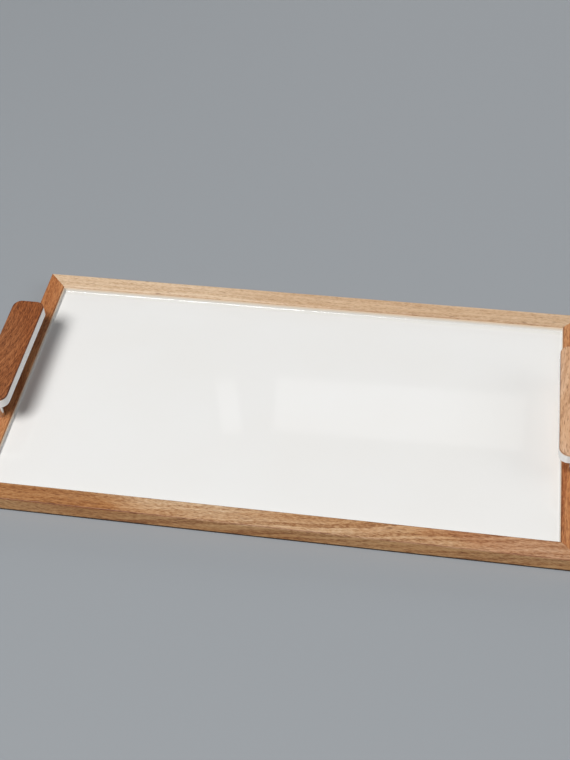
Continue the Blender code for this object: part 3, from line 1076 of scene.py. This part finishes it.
@dataclass
class Fixings:
    """Posts under the handles and the screws that hold them, at four places."""

    post_ease: float = 0.25 * MM
    post_chamfer: float = 0.2 * MM
    post_seed: int = 3
    tenon_radius: float = 2.0 * MM
    tap_radius: float = 1.6 * MM
    tap_depth: float = 8.3 * MM
    screw_radius: float = 1.5 * MM
    screw_tip: float = 0.4 * MM
    screw_seed: int = 11
    head_radius: float = 2.9 * MM
    head_rim: float = 0.3 * MM
    head_ease: float = 0.15 * MM
    thread_pitch: float = 0.5 * MM
    thread_depth: float = 0.25 * MM
    thread_reach: float = 2.0 * MM
    socket_radius: float = 1.15 * MM
    socket_depth: float = 1.2 * MM
    clearance: float = 0.2 * MM
    beyond: float = 2.0 * MM
    segments: int = 48

    def __post_init__(self) -> None:
        """Read the places from the frame."""
        low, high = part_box("right_back_post")
        self.x = (low.x + high.x) / 2.0
        self.y = (low.y + high.y) / 2.0
        self.post_radius = (high.x - low.x) / 2.0
        self.tenon_top = high.z
        self.rail_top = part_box("right_rail")[1].z
        self.plate_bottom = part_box("right_handle_plate")[0].z
        self.head_bottom, self.screw_top = (corner.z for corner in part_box("right_back_screw"))

    def cutter(self, name: str, profile: Sequence[Pair]) -> Piece:
        """Turned cutting shape at each of the four places.

        Args:
            name: The object's name.
            profile: Pairs of radius and height.

        Returns:
            The cutter.
        """
        joined = bmesh.new()
        for x, y in ((x, y) for x in (-self.x, self.x) for y in (-self.y, self.y)):
            single = turned(profile, self.segments)
            bmesh.ops.translate(single, verts=single.verts, vec=(x, y, 0.0))
            scratch = bpy.data.meshes.new(name)
            single.to_mesh(scratch)
            single.free()
            joined.from_mesh(scratch)
            bpy.data.meshes.remove(scratch)
        return link_mesh(name, joined)

    def screw_holes(self) -> Piece:
        """Cutting shape of the countersunk holes.

        Returns:
            The cutter.
        """
        rim = self.head_radius + self.clearance
        hole = self.screw_radius + self.clearance
        rim_top = self.head_bottom + self.head_rim + self.clearance / 2.0
        top = self.rail_top + self.beyond
        return self.cutter("screw_holes", [
            (0.0, -self.beyond), (rim, -self.beyond), (rim, rim_top),
            (hole, rim_top + rim - hole), (hole, top), (0.0, top),
        ])

    def tenon_holes(self) -> Piece:
        """Cutting shape of the holes for the posts' tenons.

        Returns:
            The cutter.
        """
        hole = self.tenon_radius + self.clearance / 2.0
        top = self.tenon_top + self.clearance
        bottom = self.plate_bottom - self.beyond
        return self.cutter("tenon_holes", [(0.0, bottom), (hole, bottom), (hole, top), (0.0, top)])

    def build_posts(self, copies: FourCopies) -> None:
        """Make the four polished posts.

        Args:
            copies: The tree that stands them in place.
        """
        ease = self.post_ease
        chamfer = self.post_chamfer
        bottom = self.rail_top + CONTACT
        top = self.plate_bottom - CONTACT
        profile = [
            (0.0, bottom + self.tap_depth), (self.tap_radius, bottom + self.tap_depth),
            (self.tap_radius, bottom + chamfer), (self.tap_radius + chamfer, bottom),
            *arc((self.post_radius - ease, bottom + ease), ease, 270.0, 360.0, 4),
            *arc((self.post_radius - ease, top - ease), ease, 0.0, 90.0, 4),
            (self.tenon_radius, top), (self.tenon_radius, self.tenon_top - chamfer),
            (self.tenon_radius - chamfer, self.tenon_top), (0.0, self.tenon_top),
        ]
        piece = link_mesh("handle_posts", turned(profile, self.segments))
        steel = POST_STEEL.material("polished_post_steel")
        self._stand(piece, copies, self.post_seed, steel, "post", "polished_steel")

    def build_screws(self, copies: FourCopies) -> None:
        """Make the four countersunk screws, with threads and hexagon sockets.

        Args:
            copies: The tree that stands them in place.
        """
        rim_top = self.head_bottom + self.head_rim
        root = self.screw_radius - self.thread_depth
        thread_start = self.rail_top - self.thread_reach
        profile = [
            (0.0, self.head_bottom), (self.head_radius - self.head_ease, self.head_bottom),
            (self.head_radius, self.head_bottom + self.head_ease), (self.head_radius, rim_top),
            (self.screw_radius, rim_top + self.head_radius - self.screw_radius),
        ]
        for turn in range(int((self.screw_top - thread_start) / self.thread_pitch) - 1):
            height = thread_start + turn * self.thread_pitch
            profile += [(self.screw_radius, height), (root, height + self.thread_pitch / 2.0)]
        profile += [(self.screw_radius, self.screw_top - self.screw_tip),
                    (root, self.screw_top), (0.0, self.screw_top)]
        piece = link_mesh("handle_screws", turned(profile, self.segments // 2))
        socket = bmesh.new()
        placing = Matrix.Translation((0.0, 0.0, self.head_bottom))
        add_rod(socket, self.socket_radius, 2.0 * self.socket_depth, placing, 6)
        cutter = link_mesh("socket", socket)
        drill(piece, cutter)
        drop(cutter)
        steel = SCREW_STEEL.material("plain_screw_steel")
        self._stand(piece, copies, self.screw_seed, steel, "screw", "screw_steel")

    def _stand(self, piece: Piece, copies: FourCopies, seed: int,
               steel: bpy.types.Material, kind: str, slot: str) -> None:
        """Stand a part at the four places and mount them as one piece.

        Args:
            piece: The part, which becomes all four.
            copies: The tree that stands it in place.
            seed: Seed of the parts' turns.
            steel: The part's material.
            kind: What the nodes' names end in.
            slot: The record's material slot.
        """
        copies.run(piece, {
            "Spacing X": 2.0 * self.x, "Spacing Y": 2.0 * self.y, "Seed": seed,
            "Material": steel,
        })
        smooth(piece)
        mount_piece(piece, slot, *(f"{side}_{end}_{kind}" for side in SIDES for end in ENDS))


@dataclass
class RailFrame:
    """Four mitred rails with the dowels across their mitres."""

    arris: float = 0.9 * MM
    arris_steps: int = 6
    arris_spread: float = 1.6
    foot: float = 0.8 * MM
    # The painted contact shadow runs up the outer face by foot_shadow_height and fades over
    # foot_shadow_fade.
    foot_shadow_fade: float = 0.15 * MM
    foot_shadow_height: float = 1.2 * MM
    mitre_shift: float = 0.04 * MM
    groove_depth: float = 4.0 * MM
    groove_gap: float = 0.1 * MM
    step: float = 3.5 * MM
    wear: float = 0.35 * MM
    wear_size: float = 28.0 * MM
    wear_seed: int = 5
    dowel_clearance: float = 0.1 * MM
    dowel_segments: int = 48

    def __post_init__(self) -> None:
        """Read the sizes from the frame."""
        low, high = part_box("front_rail")
        self.low_y = low.y
        self.width = high.y - low.y
        self.height = high.z
        self.left_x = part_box("left_rail")[0].x
        panel_low, panel_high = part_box("base_panel")
        self.groove = (panel_low.z - self.groove_gap, panel_high.z + self.groove_gap)

    def section(self, name: str) -> Piece:
        """Outline of a rail's section, with the marks for its arrises and for the painted contact
        shadow along its foot.

        Args:
            name: The object's name.

        Returns:
            The outline, with depth along -X and height along -Y, as a sweep wants it.
        """
        floor = self.width - self.groove_depth
        corners = (
            (0.0, 0.0, self.foot), (self.width, 0.0, self.foot / 2.0),
            (self.width, self.groove[0], 0.0), (floor, self.groove[0], 0.0),
            (floor, self.groove[1], 0.0), (self.width, self.groove[1], 0.0),
            (self.width, self.height, self.arris), (0.0, self.height, self.arris),
        )
        # The foot mark is 1 where the painted contact shadow lies: round the foot and up the outer
        # face.
        shadow_top = self.foot + self.foot_shadow_height
        points = [
            (Vector((0.0, shadow_top + self.foot_shadow_fade)), 0.0, 0.0), (Vector((0.0, shadow_top)), 0.0, 1.0),
        ]
        for index, (y, z, radius) in enumerate(corners):
            corner = Vector((y, z))
            if radius == 0.0:
                points.append((corner, 0.0, 0.0))
                continue
            back = (Vector(corners[index - 1][:2]) - corner).normalized()
            ahead = (Vector(corners[(index + 1) % len(corners)][:2]) - corner).normalized()
            centre = corner + (back + ahead) * radius
            for step in range(self.arris_steps + 1):
                angle = math.pi / 2.0 * step / self.arris_steps
                swing = ahead * math.cos(angle) + back * math.sin(angle)
                worn = min(1.0, self.arris_spread * math.sin(2.0 * angle))
                points.append((
                    centre - swing * radius, worn if z > self.groove[1] else 0.0,
                    1.0 if index == 0 else 0.0,
                ))
            if index == 0:
                points.append((Vector((self.foot + self.foot_shadow_fade, 0.0)), 0.0, 0.0))
        builder = bmesh.new()
        layers = [builder.verts.layers.float.new(tag) for tag in ("arris", "foot")]
        loop = []
        for point, *marks in points:
            corner = builder.verts.new((-point.x, -point.y, 0.0))
            for layer, mark in zip(layers, marks):
                corner[layer] = mark
            loop.append(corner)
        for pair in zip(loop, loop[1:] + loop[:1]):
            builder.edges.new(pair)
        return link_mesh(name, builder, outward=False)

    def build(self, sweep: RailSweep, fixings: Fixings) -> None:
        """Make the four rails.

        Args:
            sweep: The tree that sweeps a section.
            fixings: The screws that pass through the short rails.
        """
        screw_holes = fixings.screw_holes()
        dowel_holes = self._dowel_holes()
        half_length, half_width = -self.left_x, -self.low_y
        rails = (
            ("front_rail", half_length, (0.0, -half_width), 0.0, FRONT_RAIL_WOOD,
             Grain.ALONG_X, (0.31, 0.12, 0.02), "long_rail_wood"),
            ("back_rail", half_length, (0.0, half_width), 180.0, BACK_RAIL_WOOD,
             Grain.ALONG_X, (-0.43, 0.45, 0.11), "long_rail_wood"),
            ("left_rail", half_width, (-half_length, 0.0), -90.0, LEFT_RAIL_WOOD,
             Grain.ALONG_Y, (0.83, -0.26, 0.21), "short_rail_wood"),
            ("right_rail", half_width, (half_length, 0.0), 90.0, RIGHT_RAIL_WOOD,
             Grain.ALONG_Y, (-0.67, 0.38, -0.17), "short_rail_wood"),
        )
        for number, (node, half, place, turn, wood, grain, shift, slot) in enumerate(rails):
            piece = self.section(f"{node}_board")
            sweep.run(piece, {
                "Length": 2.0 * half,
                "Mitre Shift": self.mitre_shift,
                "Steps": int(2.0 * half / self.step),
                "Wear": self.wear,
                "Wear Size": self.wear_size,
                "Seed": self.wear_seed + number,
                "Place": (*place, 0.0),
                "Turn": (0.0, 0.0, math.radians(turn)),
                "Material": wood.material(f"{node}_wood", grain, shift),
            })
            drill(piece, dowel_holes)
            if slot == "short_rail_wood":
                drill(piece, screw_holes)
            smooth(piece)
            mount_piece(piece, slot, node)
        drop(screw_holes)
        drop(dowel_holes)

    def _dowel_holes(self) -> Piece:
        """Cutting shape of the holes for the dowels, a little wider than they are.

        Returns:
            The cutter.
        """
        builder = bmesh.new()
        for low, high in (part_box(f"corner_dowel_{end}_{side}") for end in ENDS for side in SIDES):
            centre = (low + high) / 2.0
            radius = (high.z - low.z) / 2.0
            span = (high.x - low.x - math.sqrt(2.0) * radius) * math.sqrt(2.0)
            turn = math.copysign(math.pi / 4.0, centre.x * centre.y)
            placing = (
                Matrix.Translation(centre)
                @ Matrix.Rotation(turn, 4, "Z")
                @ Matrix.Rotation(math.pi / 2.0, 4, "X")
            )
            add_rod(
                builder, radius + self.dowel_clearance, span + 2.0 * self.dowel_clearance,
                placing, self.dowel_segments,
            )
        return link_mesh("dowel_holes", builder)

    def dress_dowels(self) -> None:
        """Give the hidden dowels their wood."""
        names = [f"{end}_{side}" for end in ENDS for side in SIDES]
        for name, shift in zip(names, (0.1, 0.3, 0.5, 0.7)):
            node = f"corner_dowel_{name}"
            wood = DOWEL_WOOD.material(f"{node}_wood", Grain.ALONG_X, (shift, shift, shift))
            dress(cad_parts[node], wood)
            LOG.info("%s: dressed", node)


@dataclass
class Bed:
    """The panel in the rails' grooves and the enamel that lines the tray."""

    panel_ease: float = 0.4 * MM
    panel_radius: float = 0.3 * MM
    panel_smooth_angle: float = 20.0
    coat: float = 0.5 * MM
    cove: float = 1.2 * MM
    cove_steps: int = 8
    level_strip: float = 1.5 * MM
    corner_radius: float = 1.3 * MM
    corner_steps: int = 6
    outer_radius: float = 0.05 * MM
    inner_radius: float = 0.15 * MM
    rim_ease: float = 0.22 * MM
    rim_slope: float = 1.6
    rim_drop: float = 0.25 * MM
    rim_wander: float = 0.20 * MM
    rim_rate: float = 45.0
    side_step: float = 4.0 * MM

    def build(self) -> None:
        """Make the panel and its lining."""
        self._build_panel()
        self._build_lining()

    def _build_panel(self) -> None:
        """Make the board, with eased edges."""
        low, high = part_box("base_panel")
        size = high - low
        ease = self.panel_ease
        rings = [(inset, height, self.panel_radius) for inset, height in (
            (ease, low.z), (0.0, low.z + ease), (0.0, high.z - ease), (ease, high.z),
        )]
        shape = RingShape(size.x, size.y, 2, (1, 1))
        piece = shape.build("panel_board", (low + high) / 2.0, rings, {})
        dress(piece, PANEL_WOOD.material("panel_wood", Grain.ALONG_X, (0.2, -0.3, 0.4)))
        smooth(piece, self.panel_smooth_angle)
        mount_piece(piece, "panel_board", "base_panel")

    def _build_lining(self) -> None:
        """Make the coat: a floor, a cove and walls whose rim wanders a little."""
        length = 2.0 * (-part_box("left_rail")[1].x - CONTACT)
        width = 2.0 * (-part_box("front_rail")[1].y - CONTACT)
        low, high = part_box("enamel_lining")
        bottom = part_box("base_panel")[1].z + CONTACT
        floor = low.z + self.coat
        rim = high.z - self.rim_drop
        ease = self.rim_ease
        outside = [(0.0, bottom), (0.0, rim - ease)]
        outside += arc((ease, rim - ease), ease, 180.0, 90.0, 3)[1:]
        rim_rings = set(range(1, len(outside) + 1))
        foot = (self.coat + self.cove, floor + self.cove)
        inside = arc(foot, self.cove, 180.0, 270.0, self.cove_steps)
        inside.append((foot[0] + self.level_strip, floor))
        rings = [
            *((*point, self.outer_radius) for point in outside),
            (self.coat, rim - ease * self.rim_slope, self.inner_radius),
            *((*point, self.corner_radius) for point in inside),
        ]
        wander = wandering(rim_rings, lambda place: self.rim_wander * (
            noise.noise(Vector((place.x, place.y, 0.0)) * self.rim_rate) + 0.5
        ))
        steps = (int(width / self.side_step), int(length / self.side_step))
        shape = RingShape(length, width, self.corner_steps, steps)
        piece = shape.build("tray_lining", Vector((0.0, 0.0, 0.0)), rings, {"rim": rim_rings}, wander)
        dress(piece, LINING_ENAMEL.material("lining_enamel"))
        smooth(piece)
        mount_piece(piece, "white_enamel", "enamel_lining")


@dataclass
class Handle:
    """One handle: a flat plate of wood with a band of enamel round its edge."""

    side: str
    wood: WoodFinish
    shift: Triple
    corner_radius: float = 8.0 * MM
    ease: float = 0.9 * MM
    foot_ease: float = 0.5 * MM
    level_strip: float = 0.6 * MM
    coat: float = 0.45 * MM
    coat_ease: float = 0.3 * MM
    coat_lap: float = 0.25 * MM
    line_drop: float = 0.35 * MM
    line_wander: float = 0.22 * MM
    line_rate: float = 60.0
    corner_steps: int = 14
    side_steps: tuple[int, int] = (34, 6)

    def __post_init__(self) -> None:
        """Read the sizes from the frame."""
        low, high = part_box(f"{self.side}_handle_enamel")
        self.bottom, self.top = (corner.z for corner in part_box(f"{self.side}_handle_plate"))
        self.line = self.top - self.ease - self.line_drop
        self.centre = (low + high) / 2.0
        size = high - low
        self.shape = RingShape(size.x, size.y, self.corner_steps, self.side_steps)

    def build(self, tenon_holes: Piece) -> None:
        """Make the plate and its band.

        Args:
            tenon_holes: The shape of the holes for the posts' tenons.
        """
        self._build_plate(tenon_holes)
        self._build_band()

    def _rings(self, points: Sequence[Pair]) -> list[Ring]:
        """Rings through points (inset, height), whose corners are parallel."""
        return [(inset, height, self.corner_radius - inset) for inset, height in points]

    def _build_plate(self, tenon_holes: Piece) -> None:
        """Make the plate: flush under the band, with softly rounded edges.

        Args:
            tenon_holes: The shape of the holes to drill.
        """
        margin = self.coat + CONTACT
        foot = (margin + self.foot_ease, self.bottom + self.foot_ease)
        points = [
            (foot[0] + self.level_strip, self.bottom),
            *arc(foot, self.foot_ease, 270.0, 180.0, 4),
            (margin, self.line - self.coat_lap),
            (0.0, self.line),
        ]
        arris = set(range(len(points), len(points) + 5))
        points += arc((self.ease, self.top - self.ease), self.ease, 180.0, 90.0, 6)
        points.append((self.ease + self.level_strip, self.top))
        piece = self.shape.build(
            f"{self.side}_handle_board", self.centre, self._rings(points), {"arris": arris}
        )
        dress(piece, self.wood.material(f"{self.side}_handle_wood", Grain.ALONG_Y, self.shift))
        drill(piece, tenon_holes)
        smooth(piece)
        mount_piece(piece, f"{self.side}_handle_wood", f"{self.side}_handle_plate")

    def _build_band(self) -> None:
        """Make the band of enamel, whose upper line was sanded back by hand."""
        ease = self.coat_ease
        points = [
            (self.coat, self.bottom),
            *arc((ease, self.bottom + ease), ease, 270.0, 180.0, 4),
            (0.0, self.line - 1.2 * MM),
            (0.0, self.line - 0.12 * MM),
            (0.1 * MM, self.line),
            (self.coat, self.line - 0.1 * MM),
        ]
        line_rings = set(range(len(points) - 3, len(points)))
        wander = wandering(line_rings, lambda place: self.line_wander * (
            noise.noise(place * self.line_rate + Vector(self.shift)) * 0.5 + 0.5
        ))
        piece = self.shape.build(
            f"{self.side}_handle_band", self.centre, self._rings(points), {"rim": line_rings},
            wander, band=True,
        )
        dress(piece, ENAMEL.material(f"{self.side}_handle_enamel"))
        smooth(piece)
        mount_piece(piece, "white_enamel", f"{self.side}_handle_enamel")


# --- Studio ---


@dataclass(frozen=True)
class SoftLight:
    """A rectangular soft light that points at a place."""

    name: str
    place: Triple
    size: Pair
    power: float
    colour: Colour = WHITE
    target: Triple = (0.0, 0.0, 0.02)

    def build(self) -> None:
        """Add the light to the scene."""
        light = bpy.data.lights.new(self.name, "AREA")
        light.shape = "RECTANGLE"
        light.size, light.size_y = self.size
        light.energy = self.power
        light.color = self.colour
        lamp = bpy.data.objects.new(self.name, light)
        lamp.location = self.place
        aim = Vector(self.target) - Vector(self.place)
        lamp.rotation_euler = aim.to_track_quat("-Z", "Y").to_euler()
        bpy.context.scene.collection.objects.link(lamp)


LIGHTS = (
    SoftLight("key", (-1.714, -3.254, 6.170), (2.48, 2.48), 502.0, (1.0, 0.985, 0.96)),
    SoftLight("side_fill", (2.90, -0.30, 2.20), (2.0, 2.0), 19.0),
    SoftLight("back_fill", (0.40, 3.00, 1.20), (2.4, 0.9), 12.0),
    SoftLight("tall_window", (-0.64, 2.0, 2.43), (0.07, 0.19), 0.030),
    SoftLight("wide_window", (-0.04, 2.0, 2.38), (0.86, 0.19), 0.38),
)


@dataclass
class Studio:
    """Camera, lights and a plain pale floor."""

    camera_place: Triple = (0.1445, -0.6711, 0.8085)
    camera_turn: Triple = (41.812, 2.617, 9.217)
    lens: float = 56.68
    sensor: float = 36.0
    nearest: float = 0.01
    floor_size: float = 12.0
    floor_drop: float = 0.3 * MM
    floor_colour: Colour = (0.305, 0.328, 0.355)
    floor_roughness: float = 0.62
    floor_stretch: Triple = (900.0, 900.0, 900.0)
    floor_relief: float = 0.02 * MM
    sky: Colour = (0.93, 0.96, 1.0)
    sky_strength: float = 0.10

    def build(self) -> None:
        """Add everything to the scene."""
        self._build_camera()
        self._build_floor()
        for light in LIGHTS:
            light.build()
        self._build_sky()

    def _build_camera(self) -> None:
        """Stand the camera at its viewing angle."""
        camera = bpy.data.cameras.new("camera")
        camera.lens = self.lens
        camera.sensor_width = self.sensor
        camera.clip_start = self.nearest
        stand = bpy.data.objects.new("camera", camera)
        stand.location = self.camera_place
        stand.rotation_euler = Euler([math.radians(angle) for angle in self.camera_turn])
        bpy.context.scene.collection.objects.link(stand)
        bpy.context.scene.camera = stand

    def _build_floor(self) -> None:
        """Lay the floor just under the tray."""
        builder = bmesh.new()
        bmesh.ops.create_grid(builder, x_segments=1, y_segments=1, size=self.floor_size / 2.0)
        bmesh.ops.translate(builder, verts=builder.verts, vec=(0.0, 0.0, -self.floor_drop))
        floor = link_mesh("floor", builder, outward=False)
        writer = ShaderWriter("floor_paint")
        grain = writer.noise(writer.place(), self.floor_stretch)
        dress(floor, writer.finish(
            Base_Color=self.floor_colour, Roughness=self.floor_roughness,
            Normal=writer.bump(grain, self.floor_relief, 0.4),
        ))

    def _build_sky(self) -> None:
        """Set the surroundings and the way colours are shown."""
        world = bpy.data.worlds.new("studio")
        world.use_nodes = True
        background = world.node_tree.nodes["Background"]
        background.inputs["Color"].default_value = (*self.sky, 1.0)
        background.inputs["Strength"].default_value = self.sky_strength
        bpy.context.scene.world = world
        bpy.context.scene.view_settings.view_transform = "Standard"


def main() -> None:
    """Build the tray's looks piece by piece."""
    logging.basicConfig(level=logging.INFO, format="%(name)s: %(message)s", stream=sys.stdout)
    copies = FourCopies()
    fixings = Fixings()
    rails = RailFrame()
    rails.build(RailSweep(), fixings)
    rails.dress_dowels()
    Bed().build()
    tenon_holes = fixings.tenon_holes()
    for handle in (Handle("left", LEFT_HANDLE_WOOD, (0.52, 0.07, 0.33)),
                   Handle("right", RIGHT_HANDLE_WOOD, (-0.24, 0.61, -0.42))):
        handle.build(tenon_holes)
    drop(tenon_holes)
    fixings.build_posts(copies)
    fixings.build_screws(copies)
    Studio().build()


if __name__ == "__main__":
    main()
